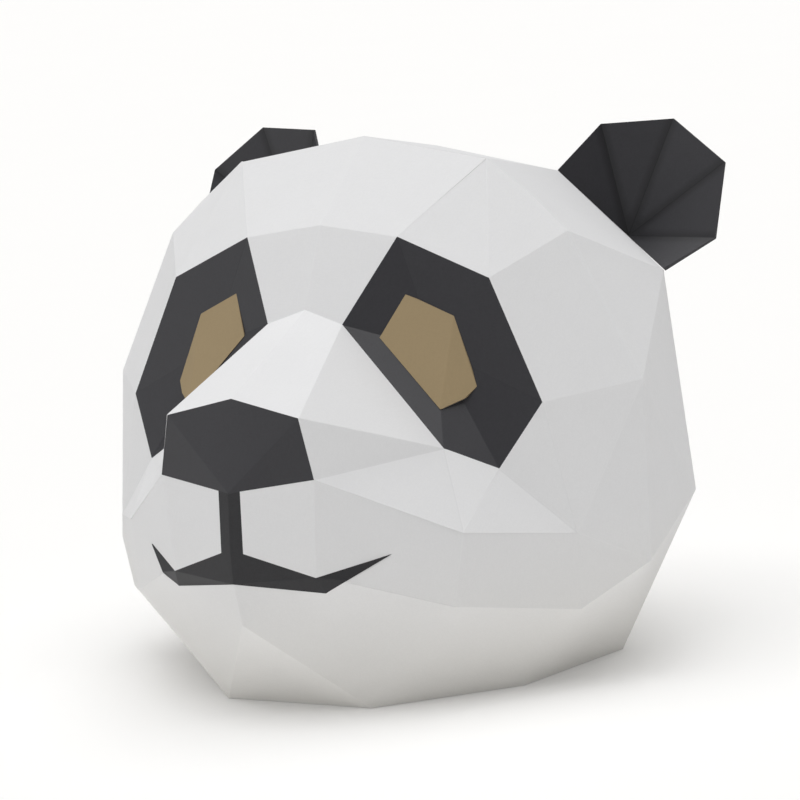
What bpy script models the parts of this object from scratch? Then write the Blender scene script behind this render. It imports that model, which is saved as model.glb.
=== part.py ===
"""Folded card panda mask that covers the whole head.

The mask is a faceted shell of card sheets.  Each sheet is creased along the
straight lines between its fold corners and meets its neighbours edge to edge.
It stands on the rim of its neck opening, which lies in the plane z = 0, and
looks along -Y.  The plane x = 0 divides it into two equal halves.
"""

import bmesh
import bpy
import numpy as np
from mathutils import Vector

MM = 0.001

# Driving dimensions, in metres
CARD = 1.2 * MM
SEAM_GAP = 0.3 * MM
EAR_LIFT = 0.6 * MM
PANEL_DEPTH = 2.2 * MM
HOLE_REACH = 40.0 * MM
CENTRE_FORE = 18.75
HEAD_MIDDLE = 130.0
WALL_WEIGHT = 10.0
MERGE = 0.00001

# Fold corners on the middle plane, in millimetres: fore from the ears' line
# towards the snout, up from the rim
MIDDLE = {
    "crown_mid": (12.5, 287.0),
    "brow_mid": (64.0, 246.5),
    "bridge_mid": (85.5, 204.5),
    "nose_top": (161.5, 171.5),
    "nose_base": (172.5, 124.0),
    "lip_mid": (175.5, 95.0),
    "mouth_mid": (175.5, 76.5),
    "chin_mid": (171.0, 53.5),
    "rim_front_mid": (125.5, 0.0),
    "crown_back_mid": (-61.0, 271.5),
    "nape_top_mid": (-122.0, 246.0),
    "nape_mid": (-138.0, 132.0),
    "rim_back_mid": (-106.0, 0.0),
}

# Fold corners of one half, in millimetres: side from the middle plane, fore, up
BROW = {
    "crown_edge": (78.5, 17.5, 274.5),
    "temple_fold": (106.5, 18.0, 253.5),
    "temple": (126.5, 21.0, 236.0),
    "ear_top": (76.5, -60.5, 256.5),
    "ear_low": (141.5, -53.0, 202.5),
}
EYE = {
    "patch_inner": (47.5, 63.5, 240.0),
    "patch_brow": (99.5, 60.0, 217.5),
    "patch_outer": (129.5, 67.0, 153.5),
    "patch_low": (110.5, 84.0, 121.0),
    "patch_snout": (85.5, 97.0, 134.0),
    "patch_bridge": (23.5, 87.0, 197.0),
    "patch_dip": (70.5, 72.0, 181.5),
}
SNOUT = {
    "nose_wing": (41.0, 162.0, 162.5),
    "nose_corner": (47.5, 163.0, 130.5),
    "lip_fold": (44.0, 164.5, 79.3),
    "mouth_fold": (46.0, 159.5, 70.0),
    "mouth_side": (57.0, 157.5, 76.0),
}
CHEEK = {
    "cheekbone": (167.0, 25.5, 158.5),
    "cheek_back": (161.5, -33.5, 86.5),
    "cheek_low": (170.0, 38.0, 64.5),
    "cheek_front": (145.5, 69.0, 85.0),
    "cheek_fold": (105.0, 116.0, 95.0),
}
JAW = {
    "jaw_front": (100.0, 122.5, 56.5),
    "jaw_back": (143.0, 67.5, 44.0),
    "rim_front": (45.5, 125.5, 0.0),
    "rim_side": (103.5, 65.5, 0.0),
    "rim_wide": (118.5, -16.5, 0.0),
}
NAPE = {
    "nape_top": (60.0, -115.0, 232.0),
    "nape_side": (78.0, -128.0, 130.0),
    "rim_back": (58.0, -96.0, 0.0),
}
EAR = {
    "ear_root": (107.5, -78.5, 217.0),
    "ear_inner": (94.0, -81.5, 279.0),
    "ear_crest": (134.5, -90.0, 280.0),
    "ear_outer": (167.0, -84.0, 256.5),
    "ear_tip": (168.5, -63.5, 218.5),
}

# Corners of the eye hole, and of the card that fills it, in millimetres: side,
# fore on the face of the card, up
EYE_HOLE = {
    "hole_snout": (80.0, 87.5, 152.4),
    "hole_low": (89.3, 79.2, 156.4),
    "hole_outer": (94.5, 73.0, 162.4),
    "hole_brow": (80.5, 67.0, 198.6),
    "hole_inner": (53.6, 70.0, 210.6),
    "hole_bridge": (42.7, 82.0, 189.3),
}

# Corners whose height is solved so that they lie in the plane of three others
IN_A_PLANE = {"nape_top": ("ear_top", "ear_low", "ear_root")}

# Corners that lie part of the way along a fold: from, to, share of the length
ON_A_FOLD = {
    "patch_crease": ("patch_bridge", "patch_snout", 0.085),
    "mouth_tip": ("lip_fold", "cheek_fold", 0.52),
    "groove_top": ("nose_base", "nose_corner", 0.14),
    "groove_base": ("lip_mid", "lip_fold", 0.155),
}

# Facets of each sheet, as fans of triangles round their first corner
WHOLE_SHEETS = {
    "forehead_sheet": [
        ("patch_inner", "crown_edge", "crown_mid", "brow_mid"),
        ("patch_inner", "brow_mid", "bridge_mid", "patch_bridge"),
    ],
    "crown_sheet": [
        ("crown_mid", "crown_edge", "ear_top", "crown_back_mid"),
    ],
    "muzzle_sheet": [
        ("bridge_mid", "patch_bridge", "nose_wing", "nose_top"),
        ("nose_wing", "patch_bridge", "patch_crease", "patch_snout", "nose_corner"),
        ("patch_snout", "nose_corner", "cheek_fold", "patch_low"),
        ("cheek_front", "patch_outer", "patch_low", "cheek_fold"),
    ],
    "nose_sheet": [
        ("nose_wing", "nose_corner", "groove_top", "nose_base", "nose_top"),
    ],
    "mouth_sheet": [
        ("nose_base", "groove_top", "groove_base", "lip_mid"),
        ("mouth_mid", "lip_mid", "groove_base", "lip_fold", "mouth_fold"),
        ("lip_fold", "mouth_fold", "mouth_side", "mouth_tip"),
    ],
    "jaw_sheet": [
        ("mouth_fold", "mouth_mid", "chin_mid", "jaw_front", "mouth_side"),
        ("chin_mid", "jaw_front", "rim_front", "rim_front_mid"),
        ("jaw_front", "jaw_back", "rim_side", "rim_front"),
        ("jaw_back", "cheek_low", "rim_wide", "rim_side"),
        ("cheek_low", "cheek_back", "rim_wide"),
    ],
    "nape_upper_sheet": [
        ("nape_top", "nape_top_mid", "crown_back_mid", "ear_top"),
        ("nape_top", "ear_top", "ear_low"),
    ],
    "nape_lower_sheet": [
        ("nape_side", "nape_mid", "nape_top_mid", "nape_top"),
        ("nape_side", "rim_back", "rim_back_mid", "nape_mid"),
    ],
}
PAIRED_SHEETS = {
    "temple_sheet": [
        ("patch_brow", "patch_inner", "crown_edge", "temple_fold", "temple"),
        ("temple_fold", "crown_edge", "ear_top"),
        ("temple_fold", "ear_top", "ear_low", "temple"),
    ],
    "cheek_sheet": [
        ("patch_brow", "temple", "cheekbone", "patch_outer"),
        ("cheekbone", "temple", "ear_low"),
        ("cheekbone", "ear_low", "cheek_back", "cheek_low"),
        ("cheek_front", "patch_outer", "cheekbone", "cheek_low", "jaw_back"),
    ],
    "nape_side_sheet": [
        ("nape_side", "nape_top", "ear_low", "cheek_back"),
        ("nape_side", "cheek_back", "rim_wide", "rim_back"),
    ],
    "lip_sheet": [
        ("nose_corner", "groove_top", "groove_base", "lip_fold", "mouth_tip", "cheek_fold"),
        ("jaw_front", "mouth_side", "mouth_tip", "cheek_fold", "cheek_front", "jaw_back"),
    ],
    "eye_patch": [
        ("patch_dip", "patch_bridge", "patch_inner", "patch_brow", "patch_outer",
         "patch_low", "patch_snout", "patch_crease", "patch_bridge"),
    ],
}
EAR_FACETS = ("ear_root", "ear_top", "ear_inner", "ear_crest", "ear_outer", "ear_tip", "ear_low")

BLACK_PIECES = ("nose_sheet", "mouth_sheet", "eye_patch", "ear")
COLOURS = {
    "white": (0.80, 0.80, 0.81, 1.0),
    "black": (0.045, 0.045, 0.05, 1.0),
    "tan": (0.29, 0.22, 0.13, 1.0),
}
ROUGHNESS = {"white": 0.85, "black": 0.7, "tan": 0.8}


def dropped(point, plane, direction):
    """The point moved along a direction into the plane of three others."""
    a, b, c = plane
    normal = (b - a).cross(c - a)
    return point + direction * ((a - point).dot(normal) / direction.dot(normal))


def fold_corners():
    """Every fold corner of the +X half in metres, centred between snout and nape."""
    rows = {name: (0.0, fore, up) for name, (fore, up) in MIDDLE.items()}
    for table in (BROW, EYE, SNOUT, CHEEK, JAW, NAPE, EAR):
        rows.update(table)
    points = {}
    for name, (side, fore, up) in rows.items():
        points[name] = Vector((side, CENTRE_FORE - fore, up)) * MM
    for name, (start, end, share) in ON_A_FOLD.items():
        points[name] = points[start].lerp(points[end], share)
    for name, plane in IN_A_PLANE.items():
        points[name] = dropped(points[name], [points[corner] for corner in plane], Vector((0, 0, 1)))
    return points


def turned(points, fan, direction):
    """The fan's triangles round its first corner, all turned to face a direction."""
    tris = [(fan[0], b, c) for b, c in zip(fan[1:], fan[2:])]
    area = sum((area_of(points, tri) for tri in tris), Vector())
    return tris if area.dot(direction) > 0 else [(a, c, b) for a, b, c in tris]


def outward(points, fans):
    """Triangles of the fans, turned away from the middle of the head."""
    middle = Vector((0, CENTRE_FORE, HEAD_MIDDLE)) * MM
    tris = []
    for fan in fans:
        centre = sum((points[name] for name in fan), Vector()) / len(fan)
        tris += turned(points, fan, centre - middle)
    return tris


def area_of(points, tri):
    a, b, c = (points[name] for name in tri)
    return (b - a).cross(c - a)


def normal_of(points, tri):
    return area_of(points, tri).normalized()


def shift(point, rows):
    """The shortest move of a corner that goes the asked distance along each direction.

    A corner on the middle plane stays on it, and one on the rim stays at z = 0.
    """
    free = np.array([abs(point.x) > MERGE, True, abs(point.z) > MERGE], dtype=float)
    directions = np.array([tuple(direction) for direction, _ in rows]) * free
    distances = np.array([distance for _, distance in rows])
    return Vector(np.linalg.lstsq(directions, distances, rcond=0.03)[0])


def inner_corners(points, tris):
    """Each corner moved one card thickness behind all the facets that meet there."""
    inner = {}
    for name in sorted({name for tri in tris for name in tri}):
        rows = [(normal_of(points, tri), -CARD) for tri in tris if name in tri]
        inner[name] = points[name] + shift(points[name], rows)
    return inner


def border_edges(points, tris):
    """Edges of a sheet with one facet, apart from those on the middle plane."""
    directed = [(tri[i], tri[(i + 1) % 3]) for tri in tris for i in range(3)]
    border = [(a, b) for a, b in directed if (b, a) not in directed]
    return [(a, b) for a, b in border if abs(points[a].x) + abs(points[b].x) > MERGE]


def sheet_mesh(name, points, inner, tris, gap=SEAM_GAP):
    """A closed folded card: outer facets, inner facets and walls along its border.

    The walls along a seam are mitred and stand back from it by half the gap.
    """
    border = border_edges(points, tris)
    rows = {corner: [] for tri in tris for corner in tri}
    for tri in tris:
        for corner in tri:
            rows[corner].append((normal_of(points, tri), 0.0))
    for a, b in border:
        through = inner[a] - points[a] + inner[b] - points[b]
        wall = through.cross(points[b] - points[a]).normalized()
        third = next(c for tri in tris if a in tri and b in tri for c in tri if c not in (a, b))
        if wall.dot(points[third] - points[a]) < 0:
            wall.negate()
        on_rim = abs(points[a].z) + abs(points[b].z) < MERGE
        pull = 0.0 if on_rim else gap / 2
        for corner in (a, b):
            rows[corner].append((wall * WALL_WEIGHT, pull * WALL_WEIGHT))
    names = sorted(rows)
    moves = {corner: shift(points[corner], rows[corner]) for corner in names}
    outer_verts = [points[corner] + moves[corner] for corner in names]
    inner_verts = [inner[corner] + moves[corner] for corner in names]
    index = {corner: i for i, corner in enumerate(names)}
    count = len(names)
    faces = [tuple(index[c] for c in tri) for tri in tris]
    faces += [tuple(index[c] + count for c in reversed(tri)) for tri in tris]
    faces += [(index[b], index[a], index[a] + count, index[b] + count) for a, b in border]
    mesh = bpy.data.meshes.new(name)
    mesh.from_pydata(outer_verts + inner_verts, [], faces)
    mesh.update()
    return mesh


def mirrored(mesh, name):
    """The same mesh on the other side of the middle plane, still facing out."""
    verts = [Vector((-v.co.x, v.co.y, v.co.z)) for v in mesh.vertices]
    faces = [tuple(reversed(p.vertices)) for p in mesh.polygons]
    copy = bpy.data.meshes.new(name)
    copy.from_pydata(verts, [], faces)
    copy.update()
    return copy


def card_material(name, colour):
    material = bpy.data.materials.new(name)
    material.use_nodes = True
    shader = material.node_tree.nodes["Principled BSDF"]
    shader.inputs["Base Color"].default_value = COLOURS[colour]
    shader.inputs["Roughness"].default_value = ROUGHNESS[colour]
    shader.inputs["Metallic"].default_value = 0.0
    material.diffuse_color = COLOURS[colour]
    return material


def card_colour(name):
    if name == "eye_panel":
        return "tan"
    return "black" if name in BLACK_PIECES else "white"


def add_object(name, mesh, collection, colour=None):
    obj = bpy.data.objects.new(name, mesh)
    collection.objects.link(obj)
    if colour:
        mesh.materials.append(card_material(f"{name}_card", colour))
    return obj


def prism_mesh(name, front, back):
    """A closed solid between two outlines, each face a fan round its first corner."""
    count = len(front)
    faces = [(0, i, i + 1) for i in range(1, count - 1)]
    faces += [(count, count + i, count + i + 1) for i in range(1, count - 1)]
    faces += [(i, (i + 1) % count, (i + 1) % count + count, i + count) for i in range(count)]
    mesh = bpy.data.meshes.new(name)
    mesh.from_pydata(front + back, [], faces)
    shell = bmesh.new()
    shell.from_mesh(mesh)
    bmesh.ops.recalc_face_normals(shell, faces=shell.faces)
    shell.to_mesh(mesh)
    shell.free()
    return mesh


def hole_outline():
    """Corners of the +X eye hole in metres."""
    return [Vector((side, CENTRE_FORE - fore, up)) * MM for side, fore, up in EYE_HOLE.values()]


def hole_cutter(name, sign, collection):
    """A prism along Y that cuts the eye hole through the patch."""
    corners = hole_outline()
    outline = [Vector((sign * corner.x, corners[0].y, corner.z)) for corner in corners]
    reach = Vector((0.0, HOLE_REACH, 0.0))
    mesh = prism_mesh(name, [p - reach for p in outline], [p + reach for p in outline])
    cutter = add_object(name, mesh, collection)
    cutter.hide_render = True
    cutter.display_type = "WIRE"
    return cutter


def eye_panel_mesh(name):
    """A card that fills the eye hole flush with the patch, one seam gap inside its edge."""
    outline = hole_outline()
    flat = [Vector((p.x, 0.0, p.z)) for p in outline]
    middle = sum(flat, Vector()) / len(flat)
    inward = []
    for start, end in zip(flat, flat[1:] + flat[:1]):
        wall = (end - start).cross(Vector((0, 1, 0))).normalized()
        inward.append(wall if wall.dot(middle - start) > 0 else -wall)
    front = []
    for i, corner in enumerate(outline):
        rows = [(inward[i - 1], SEAM_GAP), (inward[i], SEAM_GAP)]
        front.append(corner + shift(corner, rows))
    depth = Vector((0.0, PANEL_DEPTH, 0.0))
    return prism_mesh(name, front, [corner + depth for corner in front])


def ear_mesh(name, points):
    """A cupped fan of card that stands on the nape sheet behind the temple."""
    seat = normal_of(points, *outward(points, [("nape_top", "ear_top", "ear_low")]))
    temple = normal_of(points, *outward(points, [("temple_fold", "ear_top", "ear_low")]))
    lifted = dict(points)
    for corner in ("ear_top", "ear_low", "ear_root"):
        lifted[corner] = points[corner] + (seat + temple).normalized() * EAR_LIFT
    tris = turned(lifted, EAR_FACETS, Vector((0, -1, 0)))
    return sheet_mesh(name, lifted, inner_corners(lifted, tris), tris, gap=0.0)


def build():
    for obj in list(bpy.data.objects):
        bpy.data.objects.remove(obj)
    parts = bpy.data.collections.new("panda_mask")
    cutters = bpy.data.collections.new("cutters")
    for collection in (parts, cutters):
        bpy.context.scene.collection.children.link(collection)

    points = fold_corners()
    sheets = {**WHOLE_SHEETS, **PAIRED_SHEETS}
    facets = {name: outward(points, fans) for name, fans in sheets.items()}
    inner = inner_corners(points, [tri for tris in facets.values() for tri in tris])

    for name in WHOLE_SHEETS:
        half = sheet_mesh(name, points, inner, facets[name])
        obj = add_object(name, half, parts, card_colour(name))
        mirror = obj.modifiers.new("mirror", "MIRROR")
        mirror.merge_threshold = MERGE

    pairs = {name: sheet_mesh(name, points, inner, facets[name]) for name in PAIRED_SHEETS}
    pairs["ear"] = ear_mesh("ear", points)
    pairs["eye_panel"] = eye_panel_mesh("eye_panel")
    for name, mesh in pairs.items():
        for side, sign in (("right", 1), ("left", -1)):
            half = mesh.copy() if sign > 0 else mirrored(mesh, name)
            obj = add_object(f"{name}_{side}", half, parts, card_colour(name))
            if name == "eye_patch":
                hole = obj.modifiers.new("eye_hole", "BOOLEAN")
                hole.solver = "EXACT"
                hole.object = hole_cutter(f"eye_hole_{side}", sign, cutters)


build()
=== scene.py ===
"""Dresses the folded card panda mask: paper surfaces, folds, floor, light and camera.

Each card sheet of the frame is copied and drawn up to its neighbours along the
glued seams.  Its folds are rounded to a real crease's radius, its shallow folds
run out in a soft curve, and its facets get the slight bow that glued card takes.
Its material is drawn from its folds, its cut edges and the pulp of the card.
"""

import math

import bmesh
import bpy
import numpy as np
from mathutils import Matrix, Vector, noise
from mathutils.bvhtree import BVHTree


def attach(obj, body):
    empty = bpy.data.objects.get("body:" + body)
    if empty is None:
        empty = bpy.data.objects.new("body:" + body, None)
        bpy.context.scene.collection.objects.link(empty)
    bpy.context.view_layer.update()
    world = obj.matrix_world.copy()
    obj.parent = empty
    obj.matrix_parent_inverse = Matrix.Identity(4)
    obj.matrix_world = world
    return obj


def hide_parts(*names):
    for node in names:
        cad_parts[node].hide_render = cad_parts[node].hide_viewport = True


MM = 0.001

# The card and its seams, in metres unless a name says otherwise
WELD_REACH = 0.004 * MM
FLAT_ANGLE = math.radians(1.6)
CARD_RANGE = (0.8 * MM, 2.35 * MM)
TWIN_FACING = -0.97
SEAM_REACH = 0.6 * MM
SEAM_LEFT = 0.02 * MM
CHEEK_SEAM_LEFT = 0.11 * MM
CHEEK_SEAM_SIDE = 100.0 * MM
WALL_WEIGHT = 10.0
WEAKEST_PULL = 0.03

# Folds sharper than the angle in degrees are creased, the others are smoothed this often
CREASES = {"jaw_sheet": (29.0, 14), "other": (6.5, 60)}
FOLD_RADIUS = 0.30 * MM
FOLD_SEGMENTS = 2
FACET_STEP = 6.0 * MM
LONG_EDGE = 1.4 * FACET_STEP
SPLIT_ROUNDS = 6

# The bow of the facets
BOW_HEIGHT = 0.25 * MM
BOW_REACH = 16.0 * MM
BOW_SIZE = 48.0 * MM
BOW_SHIFT = Vector((3.1, 7.7, 1.3))
FAR_FROM_FOLDS = 50.0 * MM

# Card colours in linear light, and the painted warm light of the floor's bounce that white card
# is tinted with near the neck rim
WHITE_CARD = (0.804, 0.804, 0.811)
BLACK_CARD = (0.0320, 0.0314, 0.0362)
LIP_BLACK = (0.0385, 0.0380, 0.0405)
TAN_CARD = (0.353, 0.266, 0.1485)
NO_TINT = (1.0, 1.0, 1.0)
PAINTED_BOUNCE_TINT = (1.0, 0.983, 0.935)
PAINTED_BOUNCE_HEIGHTS = (-0.02, 0.11)

# The card's surface: how many features of each kind there are to a metre, and how deep
CLOUD_SCALE = 42.0
BREAK_SCALE = 160.0
FIBRE_LENGTH_SCALE = 260.0
FIBRE_WIDTH_SCALE = 1500.0
WANDER_SCALE = 700.0
FLECK_SCALE = 900.0
PLY_SCALE = 2700.0
TOOTH_DEPTH = 0.10 * MM
CLOUD_DEPTH = 0.5 * MM
CLOUD_RELIEF = 0.2
IOR_OF_CARD = 1.45

# Widths of what folds and cut edges do to the surface, in millimetres as the attributes are
# How far from a fold the painted shade reaches where folds run close together
PAINTED_FOLD_SHADE_MM = 5.5
WANDER_WIDTH_MM = 0.4
FRAY_WIDTH_MM = 0.35
SCORE_WIDTH_MM = (0.2, 1.2)

# The fold attribute is 1 on a ridge's strip, -1 on a valley's and 0 elsewhere
RIDGE_MARKS = (0.4, 0.9)
VALLEY_MARKS = (-0.9, -0.4)

# Each finish: its slot, its look and the sheets that are cut from it
FINISHES = {
    "white_card_paper": {
        "slot": "white_card",
        "look": {
            # The white card gets painted warm floor light near the neck rim
            "colour": WHITE_CARD, "tooth": 0.35, "ridge_tint": 1.02, "valley_shade_tint": 0.96,
            "mottling": 0.015, "roughness": 0.82, "painted_bounce_tint": PAINTED_BOUNCE_TINT,
        },
        "sheets": (
            "forehead_sheet", "crown_sheet", "muzzle_sheet", "jaw_sheet",
            "temple_sheet_left", "temple_sheet_right", "cheek_sheet_left", "cheek_sheet_right",
            "lip_sheet_left", "lip_sheet_right", "nape_upper_sheet", "nape_lower_sheet",
            "nape_side_sheet_left", "nape_side_sheet_right",
        ),
    },
    "black_card_paper": {
        "slot": "black_card",
        "look": {
            "colour": BLACK_CARD, "tooth": 0.40, "ridge_tint": 1.10, "valley_shade_tint": 0.92,
            "mottling": 0.08, "roughness": 0.37,
        },
        "sheets": ("nose_sheet", "eye_patch_left", "eye_patch_right"),
    },
    "mouth_card_paper": {
        "slot": "black_card",
        "look": {
            "colour": LIP_BLACK, "tooth": 0.40, "ridge_tint": 1.10, "valley_shade_tint": 0.92,
            "mottling": 0.08, "roughness": 0.37, "gloss": 0.22,
        },
        "sheets": ("mouth_sheet",),
    },
    "ear_card_paper": {
        "slot": "black_card",
        "look": {
            # The ear is painted darker in its valley creases and where its folds crowd, as shade
            "colour": BLACK_CARD, "tooth": 0.40, "ridge_tint": 1.05, "valley_shade_tint": 0.55,
            "mottling": 0.08, "roughness": 0.37, "gloss": 0.45, "painted_fold_shade": 0.45,
        },
        "sheets": ("ear_left", "ear_right"),
    },
    "tan_card_paper": {
        "slot": "tan_card",
        "look": {
            "colour": TAN_CARD, "tooth": 0.35, "ridge_tint": 1.00, "valley_shade_tint": 0.98,
            "mottling": 0.03, "roughness": 0.80,
        },
        "sheets": ("eye_panel_left", "eye_panel_right"),
    },
}

# The studio floor
FLOOR_COLOUR = (0.866, 0.860, 0.848)
FLOOR_MOTTLING = 0.005
FLOOR_GLOW = 0.12
FLOOR_REACH = 14.0
FLOOR_DROP = 0.2 * MM
FLOOR_CLOUD_SCALE = 6.0
FLOOR_GRAIN_SCALE = 1400.0
FLOOR_GRAIN_DEPTH = 0.2 * MM
FLOOR_RELIEF = 0.08

# Studio light: name, azimuth, elevation and width in degrees, power in W/m2, and
# whether it lights the card itself or only its sheen
AIR = 0.16
LIGHTS = (
    ("overhead", 0.0, 90.0, 70.0, 2.46, True),
    ("front", 0.0, 4.0, 70.0, 0.26, True),
    ("left", -60.0, 4.0, 70.0, 0.46, True),
    ("right", 120.0, 30.0, 70.0, 0.15, True),
    ("high_sheen", 25.0, 58.0, 24.0, 0.20, False),
    ("low_sheen", -42.0, 10.0, 30.0, 0.11, False),
    ("side_sheen", -92.0, 44.0, 30.0, 0.27, False),
)

# Camera, matched to the photograph
CAMERA_PLACE = (1.1521, -1.79435, 0.5188)
CAMERA_LOOK = (-0.52812, 0.83112, -0.17413)
CAMERA_UP = (-0.01827, 0.19390, 0.98085)
CAMERA_LENS_MM = 178.49
CAMERA_SENSOR_MM = 36.0


class Socket:
    """A shader value with arithmetic: every operation adds a Math node."""

    def __init__(self, shader, output):
        self.shader = shader
        self.output = output

    def __add__(self, other):
        return self.shader.math("ADD", self, other)

    def __sub__(self, other):
        return self.shader.math("SUBTRACT", self, other)

    def __rsub__(self, other):
        return self.shader.math("SUBTRACT", other, self)

    def __mul__(self, other):
        return self.shader.math("MULTIPLY", self, other)

    __radd__ = __add__
    __rmul__ = __mul__


class Shader:
    """A card material's node tree, with one method that adds any node."""

    def __init__(self, name):
        self.material = bpy.data.materials.new(name)
        self.material.use_nodes = True
        self.tree = self.material.node_tree
        self.surface = self.tree.nodes["Principled BSDF"]

    def node(self, kind, inputs=(), output=0, **settings):
        """Adds a node, fills its inputs by place or name, and returns one output."""
        made = self.tree.nodes.new(kind)
        for key, value in settings.items():
            setattr(made, key, value)
        pairs = inputs.items() if isinstance(inputs, dict) else enumerate(inputs)
        for key, value in pairs:
            self.fill(made.inputs[key], value)
        return Socket(self, made.outputs[output])

    def fill(self, socket, value):
        if isinstance(value, Socket):
            self.tree.links.new(value.output, socket)
        else:
            socket.default_value = value

    def set(self, **values):
        """Fills the surface shader's own sockets: Base_Color stands for Base Color."""
        for key, value in values.items():
            self.fill(self.surface.inputs[key.replace("_", " ")], value)

    def math(self, operation, first, second):
        return self.node("ShaderNodeMath", (first, second), operation=operation)

    def position(self):
        return self.node("ShaderNodeTexCoord", output="Object")

    def height(self, where):
        """How high a place lies above the neck rim."""
        return self.node("ShaderNodeSeparateXYZ", (where,), output="Z")

    def attribute(self, name):
        return self.node("ShaderNodeAttribute", output="Fac", attribute_name=name)

    def grain(self, where, scale, detail=4.0, roughness=0.6, distortion=0.0):
        """Noise from 0 to 1 whose features are about 1/scale metres wide."""
        inputs = {
            "Vector": where, "Scale": scale, "Detail": detail,
            "Roughness": roughness, "Distortion": distortion,
        }
        return self.node("ShaderNodeTexNoise", inputs)

    def fibres(self, where, along, across):
        """Noise that runs in fibres, this many to a metre each way."""
        inputs = {"Vector": where, "Scale": (along, across, across)}
        squeezed = self.node("ShaderNodeMapping", inputs)
        return self.grain(squeezed, 1.0, detail=3.0, distortion=0.6)

    def ramp(self, value, span, start=0.0, end=1.0):
        """A smooth step from start to end while the value crosses the span."""
        inputs = {
            "Value": value, "From Min": span[0], "From Max": span[1],
            "To Min": start, "To Max": end,
        }
        return self.node("ShaderNodeMapRange", inputs, interpolation_type="SMOOTHSTEP")

    def mix(self, share, a, b, blend="MIX"):
        """A colour between a and b."""
        made = self.tree.nodes.new("ShaderNodeMix")
        made.data_type = "RGBA"
        made.blend_type = blend
        for index, value in ((0, share), (6, a), (7, b)):
            if isinstance(value, tuple):
                value = (*value, 1.0)
            self.fill(made.inputs[index], value)
        return Socket(self, made.outputs[2])

    def bump(self, height, strength, distance, **below):
        """A relief of this height, on top of another relief if Normal names one."""
        inputs = {"Height": height, "Strength": strength, "Distance": distance, **below}
        return self.node("ShaderNodeBump", inputs)


def tinted(colour, factor):
    return tuple(channel * factor for channel in colour)


def card_material(
    name, colour, tooth, ridge_tint, valley_shade_tint, mottling, roughness,
    gloss=0.5, painted_fold_shade=0.0, painted_bounce_tint=NO_TINT,
):
    """Card with pulp clouds, fibres and tooth, worn along folds and fuzzy at its cut edges.

    The painted fold shade is how much darker the card is painted where folds run close
    together, as shade in the hollows between them; valley strips are painted darker as shade
    in the creases; and the painted bounce tint is warm floor light painted on beside the neck
    rim.
    """
    shader = Shader(name)
    where = shader.position()
    near_fold = shader.attribute("fold_mm")
    near_cut = shader.attribute("cut_mm")
    fold = shader.attribute("fold")
    wall = shader.attribute("wall")

    clouds = shader.grain(where, CLOUD_SCALE, detail=3.0)
    flecks = shader.grain(where, FLECK_SCALE, detail=2.0, roughness=0.7)
    fibres = shader.fibres(where, FIBRE_LENGTH_SCALE, FIBRE_WIDTH_SCALE)
    crossing = shader.fibres(where, FIBRE_WIDTH_SCALE, FIBRE_LENGTH_SCALE)
    pulp = (clouds - 0.5) * 0.5 + (flecks - 0.5) * 0.9 + (fibres + crossing - 1.0) * 0.8
    dark, light = tinted(colour, 1.0 - mottling), tinted(colour, 1.0 + mottling)
    base = shader.mix(shader.ramp(pulp, (-0.4, 0.4)), dark, light)

    broken = shader.ramp(shader.grain(where, BREAK_SCALE), (0.35, 0.62))
    worn = shader.ramp(fold, RIDGE_MARKS) * (0.5 + broken * 0.5)
    # Ridge strips are lighter as worn card; valley strips are darker as painted shade in the
    # creases
    painted_valley_shade = shader.ramp(fold, VALLEY_MARKS, 1.0, 0.0)
    base = shader.mix(worn, base, tinted(colour, ridge_tint))
    base = shader.mix(painted_valley_shade, base, tinted(colour, valley_shade_tint))

    # Painted warm light from the floor's bounce, multiplied into the colour beside the neck rim
    painted_bounce = shader.ramp(shader.height(where), PAINTED_BOUNCE_HEIGHTS, 1.0, 0.0)
    base = shader.mix(painted_bounce, base, painted_bounce_tint, blend="MULTIPLY")
    # Painted shade where folds run close together, as in the hollow at an ear's root
    fold_shade_mask = shader.ramp(near_fold, (0.0, PAINTED_FOLD_SHADE_MM), 1.0, 0.0)
    base = shader.mix(fold_shade_mask * painted_fold_shade, base, tinted(colour, 0.0))

    wander = (shader.grain(where, WANDER_SCALE, detail=2.0) - 0.5) * WANDER_WIDTH_MM
    frayed = shader.ramp(near_cut + wander, (0.0, FRAY_WIDTH_MM), 1.0, 0.0)
    base = shader.mix(frayed * 0.25, base, tinted(colour, 0.92))
    plies = shader.grain(where, PLY_SCALE)
    core = shader.mix(plies, tinted(colour, 0.82), tinted(colour, 0.98))
    base = shader.mix(wall * 0.6, base, core)

    scored = shader.ramp(near_fold + wander, SCORE_WIDTH_MM, 1.0, 0.0)
    tooth_height = fibres * 0.45 + crossing * 0.45 + flecks * 0.5 + scored * -0.15
    relief = shader.bump(tooth_height, tooth, TOOTH_DEPTH)
    relief = shader.bump(clouds, CLOUD_RELIEF, CLOUD_DEPTH, Normal=relief)
    sheen = roughness + (flecks - 0.5) * 0.10 + worn * 0.06
    shader.set(Base_Color=base, Roughness=sheen, Normal=relief, Metallic=0.0)
    shader.set(IOR=IOR_OF_CARD, Specular_IOR_Level=gloss)
    return shader.material


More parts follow.
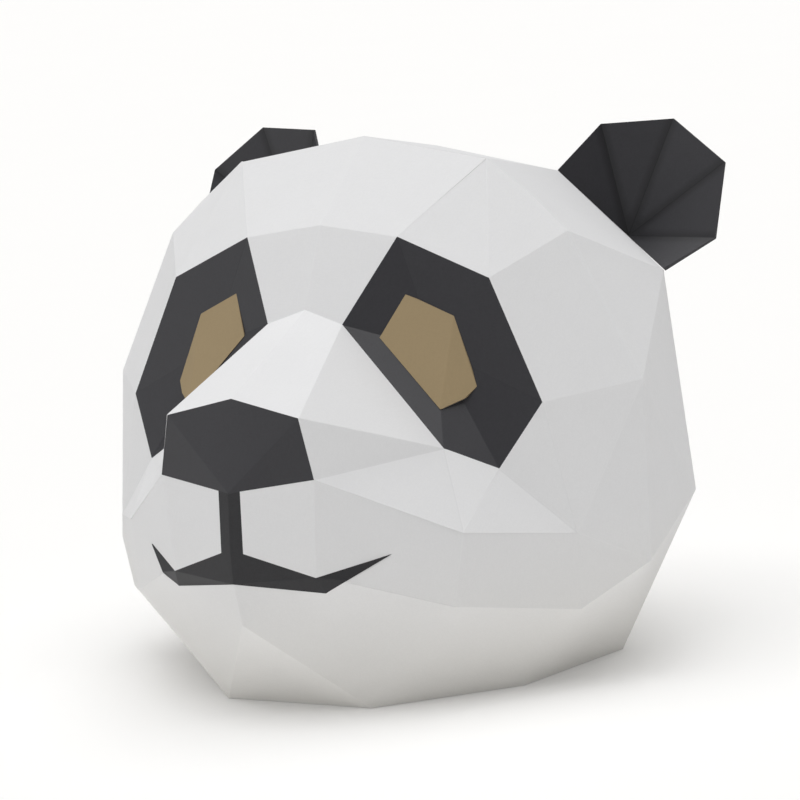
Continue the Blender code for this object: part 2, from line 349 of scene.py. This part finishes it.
def floor_material():
    """Seamless studio paper with a barely visible grain and no sheen."""
    shader = Shader("floor_paper")
    where = shader.position()
    clouds = shader.grain(where, FLOOR_CLOUD_SCALE, detail=3.0)
    grain = shader.grain(where, FLOOR_GRAIN_SCALE, detail=2.0)
    dark = tinted(FLOOR_COLOUR, 1.0 - FLOOR_MOTTLING)
    light = tinted(FLOOR_COLOUR, 1.0 + FLOOR_MOTTLING)
    shader.set(Base_Color=shader.mix(clouds, dark, light))
    shader.set(Roughness=0.9 + (grain - 0.5) * 0.05)
    shader.set(Normal=shader.bump(grain, FLOOR_RELIEF, FLOOR_GRAIN_DEPTH))
    shader.set(Emission_Color=(1.0, 1.0, 1.0, 1.0), Emission_Strength=FLOOR_GLOW)
    shader.set(Specular_IOR_Level=0.0)
    return shader.material


def cut_faces(shell):
    """Tells for every face whether it lacks a twin on the other side of the card."""
    normals = np.array([tuple(face.normal) for face in shell.faces])
    middles = np.array([tuple(face.calc_center_median()) for face in shell.faces])
    sizes = np.array([max(edge.calc_length() for edge in face.edges) for face in shell.faces])
    between = middles[:, None] - middles[None]
    depth = np.einsum("ijk,ik->ij", between, normals)
    near = np.linalg.norm(between, axis=2) < sizes[:, None]
    facing = normals @ normals.T < TWIN_FACING
    twins = near & facing & (depth > CARD_RANGE[0]) & (depth < CARD_RANGE[1])
    return ~twins.any(axis=1)


def clean_copy(node):
    """The node's mesh as a bmesh in the row's frame, welded, its cut edges marked."""
    shell = bmesh.new()
    shell.from_mesh(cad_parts[node].data)
    bmesh.ops.remove_doubles(shell, verts=shell.verts, dist=WELD_REACH)
    bmesh.ops.triangulate(shell, faces=shell.faces)
    wall = shell.faces.layers.float.new("wall")
    shell.faces.layers.float.new("fold")
    for face, is_cut in zip(shell.faces, cut_faces(shell)):
        face[wall] = float(is_cut)
    bmesh.ops.dissolve_limit(shell, angle_limit=FLAT_ANGLE, verts=shell.verts, edges=shell.edges)
    return shell


def marks(shell):
    """The two layers that mark the faces: cut edges of the card, and strips along folds."""
    return shell.faces.layers.float["wall"], shell.faces.layers.float["fold"]


def seam_left(node, other, place):
    """How wide the seam between two sheets stays: it shows only beside the cheek."""
    kinds = {node.split("_")[0], other.split("_")[0]}
    by_cheek = kinds in ({"cheek", "muzzle"}, {"cheek", "lip"})
    return CHEEK_SEAM_LEFT if by_cheek and abs(place.x) > CHEEK_SEAM_SIDE else SEAM_LEFT


def pull_to_neighbours(node, face, trees):
    """How far a cut edge moves out towards the sheets that it is glued to."""
    place = face.calc_center_median()
    pull = None
    for other, tree in trees.items():
        gap = tree.find_nearest(place, SEAM_REACH)[3] if other != node else None
        if gap is not None:
            pull = max(pull or 0.0, (gap - seam_left(node, other, place)) / 2)
    return pull


def close_seams(node, shell, trees):
    """Moves the cut edges along glued seams out until the sheets all but touch."""
    wall, _ = marks(shell)
    pulls = {face: pull_to_neighbours(node, face, trees) for face in shell.faces if face[wall]}
    pulls = {face: pull for face, pull in pulls.items() if pull is not None}
    moves = {}
    for vert in {vert for face in pulls for vert in face.verts}:
        weights = [WALL_WEIGHT if face[wall] else 1.0 for face in vert.link_faces]
        sides = [face.normal * weight for face, weight in zip(vert.link_faces, weights)]
        shifts = [pulls.get(face, 0.0) * weight for face, weight in zip(vert.link_faces, weights)]
        moves[vert] = Vector(np.linalg.lstsq(sides, shifts, rcond=WEAKEST_PULL)[0])
    for vert, move in moves.items():
        vert.co += move
    shell.normal_update()


def fold_lines(shell, crease):
    """Segments of the card's ridges, its valleys and its cut edges, as three arrays."""
    wall, _ = marks(shell)
    lines = {"ridge": [], "valley": [], "cut": []}
    for edge in shell.edges:
        line = [tuple(vert.co) for vert in edge.verts]
        if any(face[wall] for face in edge.link_faces):
            lines["cut"].append(line)
        elif edge.calc_face_angle(0.0) > crease:
            lines["ridge" if edge.is_convex else "valley"].append(line)
    return {kind: np.array(rows).reshape(-1, 2, 3) for kind, rows in lines.items()}


def distance_to(points, lines):
    """Distance from every point to the nearest of the line segments."""
    best = np.full(len(points), FAR_FROM_FOLDS)
    for start, end in lines:
        along = end - start
        share = np.clip((points - start) @ along / (along @ along), 0.0, 1.0)
        gap = np.linalg.norm(points - start - share[:, None] * along, axis=1)
        best = np.minimum(best, gap)
    return best


def round_folds(shell, lines, crease):
    """Turns each fold into a narrow rounded strip, marked 1 on a ridge and -1 in a valley."""
    wall, fold = marks(shell)
    sharp = [
        edge for edge in shell.edges
        if edge.calc_face_angle(0.0) > crease and not any(face[wall] for face in edge.link_faces)
    ]
    strips = bmesh.ops.bevel(
        shell, geom=sharp, offset=FOLD_RADIUS, offset_type="OFFSET", segments=FOLD_SEGMENTS,
        profile=0.5, affect="EDGES", clamp_overlap=True, loop_slide=True,
    )["faces"]
    middles = np.array([tuple(face.calc_center_median()) for face in strips]).reshape(-1, 3)
    ridge = distance_to(middles, lines["ridge"]) <= distance_to(middles, lines["valley"])
    for face, is_ridge in zip(strips, ridge):
        face[fold] = 1.0 if is_ridge else -1.0
        face[wall] = 0.0


def refine(shell):
    """Splits long edges until every facet has points enough to bend."""
    bmesh.ops.triangulate(shell, faces=shell.faces)
    for _ in range(SPLIT_ROUNDS):
        long_edges = [edge for edge in shell.edges if edge.calc_length() > LONG_EDGE]
        if not long_edges:
            break
        bmesh.ops.subdivide_edges(shell, edges=long_edges, cuts=1, use_grid_fill=False)
        bmesh.ops.triangulate(shell, faces=[face for face in shell.faces if len(face.verts) > 3])
    shell.verts.index_update()


def relax(shell, steps):
    """Lets the soft folds run out in a curve: free points move to their neighbours' mean."""
    wall, fold = marks(shell)
    free = np.array([
        not any(face[wall] or face[fold] for face in vert.link_faces) for vert in shell.verts
    ])
    pairs = np.array([[vert.index for vert in edge.verts] for edge in shell.edges])
    starts, ends = np.concatenate([pairs, pairs[:, ::-1]]).T
    points = np.array([tuple(vert.co) for vert in shell.verts])
    count = np.bincount(starts, minlength=len(points))
    for _ in range(steps):
        for axis in range(3):
            total = np.bincount(starts, points[ends, axis], len(points))
            points[free, axis] = total[free] / count[free]
    for vert, point in zip(shell.verts, points):
        vert.co = point


def bow(shell, lines):
    """Lifts the middle of each facet a little, as card that was glued and handled."""
    shell.normal_update()
    points = np.array([tuple(vert.co) for vert in shell.verts])
    reach = np.min([distance_to(points, lines[kind]) for kind in lines], axis=0)
    for vert, away in zip(shell.verts, reach):
        fade = min(1.0, away / BOW_REACH)
        fade = fade * fade * (3.0 - 2.0 * fade)
        wave = noise.noise(vert.co / BOW_SIZE + BOW_SHIFT)
        vert.co += vert.normal * (BOW_HEIGHT * fade * wave)


def paper_mesh(node, shell, lines):
    """The finished sheet's mesh, which stores how far its points lie from folds and cuts."""
    wall, fold = marks(shell)
    for face in shell.faces:
        face.smooth = not (face[wall] or face[fold])
    mesh = bpy.data.meshes.new(f"{node}_paper")
    shell.to_mesh(mesh)
    shell.free()
    points = np.array([tuple(vert.co) for vert in mesh.vertices])
    folds = np.concatenate([lines["ridge"], lines["valley"]])
    for name, segments in (("fold_mm", folds), ("cut_mm", lines["cut"])):
        layer = mesh.attributes.new(name, "FLOAT", "POINT")
        layer.data.foreach_set("value", distance_to(points, segments) / MM)
    return mesh


def dressed(node, material, trees):
    """A detailed piece of paper that stands for a CAD sheet."""
    angle, steps = CREASES.get(node, CREASES["other"])
    crease = math.radians(angle)
    shell = clean_copy(node)
    close_seams(node, shell, trees)
    lines = fold_lines(shell, crease)
    round_folds(shell, lines, crease)
    refine(shell)
    relax(shell, steps)
    bow(shell, lines)
    mesh = paper_mesh(node, shell, lines)
    mesh.materials.append(material)
    piece = bpy.data.objects.new(f"{node}_paper", mesh)
    bpy.context.scene.collection.objects.link(piece)
    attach(piece, "root")
    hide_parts(node)
    return piece


def add_floor():
    """A pale sheet that runs on past the frame on all sides."""
    shell = bmesh.new()
    bmesh.ops.create_grid(shell, x_segments=8, y_segments=8, size=FLOOR_REACH)
    mesh = bpy.data.meshes.new("studio_floor")
    shell.to_mesh(mesh)
    shell.free()
    mesh.materials.append(floor_material())
    floor = bpy.data.objects.new("studio_floor", mesh)
    floor.location.z = -FLOOR_DROP
    bpy.context.scene.collection.objects.link(floor)


def add_sun(name, azimuth, elevation, width, power, on_card):
    """A soft light: azimuth in degrees from the face towards +X."""
    light = bpy.data.lights.new(name, "SUN")
    light.energy = power
    light.angle = math.radians(width)
    lamp = bpy.data.objects.new(name, light)
    lamp.visible_diffuse = on_card
    side, height = math.radians(azimuth), math.radians(elevation)
    level = math.cos(height)
    back = Vector((math.sin(side) * level, -math.cos(side) * level, math.sin(height)))
    lamp.rotation_mode = "QUATERNION"
    lamp.rotation_quaternion = back.to_track_quat("Z", "Y")
    bpy.context.scene.collection.objects.link(lamp)


def add_world():
    """Even white air all round."""
    world = bpy.data.worlds.new("studio_air")
    world.use_nodes = True
    background = world.node_tree.nodes["Background"]
    background.inputs["Color"].default_value = (1.0, 1.0, 1.0, 1.0)
    background.inputs["Strength"].default_value = AIR
    bpy.context.scene.world = world


def add_camera():
    look, up = Vector(CAMERA_LOOK).normalized(), Vector(CAMERA_UP)
    right = look.cross(up).normalized()
    up = right.cross(look)
    turn = Matrix((right, up, -look)).transposed()
    data = bpy.data.cameras.new("camera")
    data.lens = CAMERA_LENS_MM
    data.sensor_width = CAMERA_SENSOR_MM
    camera = bpy.data.objects.new("camera", data)
    camera.matrix_world = Matrix.Translation(CAMERA_PLACE) @ turn.to_4x4()
    bpy.context.scene.collection.objects.link(camera)
    bpy.context.scene.camera = camera


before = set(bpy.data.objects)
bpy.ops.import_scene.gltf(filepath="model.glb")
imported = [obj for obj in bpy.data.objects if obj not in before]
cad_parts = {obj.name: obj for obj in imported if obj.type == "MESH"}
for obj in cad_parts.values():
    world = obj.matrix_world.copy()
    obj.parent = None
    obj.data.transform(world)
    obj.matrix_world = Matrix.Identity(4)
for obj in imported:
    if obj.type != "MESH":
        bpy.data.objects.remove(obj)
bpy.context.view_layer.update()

settled = bpy.context.evaluated_depsgraph_get()
solids = {name: BVHTree.FromObject(node, settled) for name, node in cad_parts.items()}

for name, finish in FINISHES.items():
    paper = card_material(name, **finish["look"])
    for sheet in finish["sheets"]:
        dressed(sheet, paper, solids)

add_floor()
add_world()
for light in LIGHTS:
    add_sun(*light)
add_camera()
bpy.context.scene.view_settings.view_transform = "Standard"
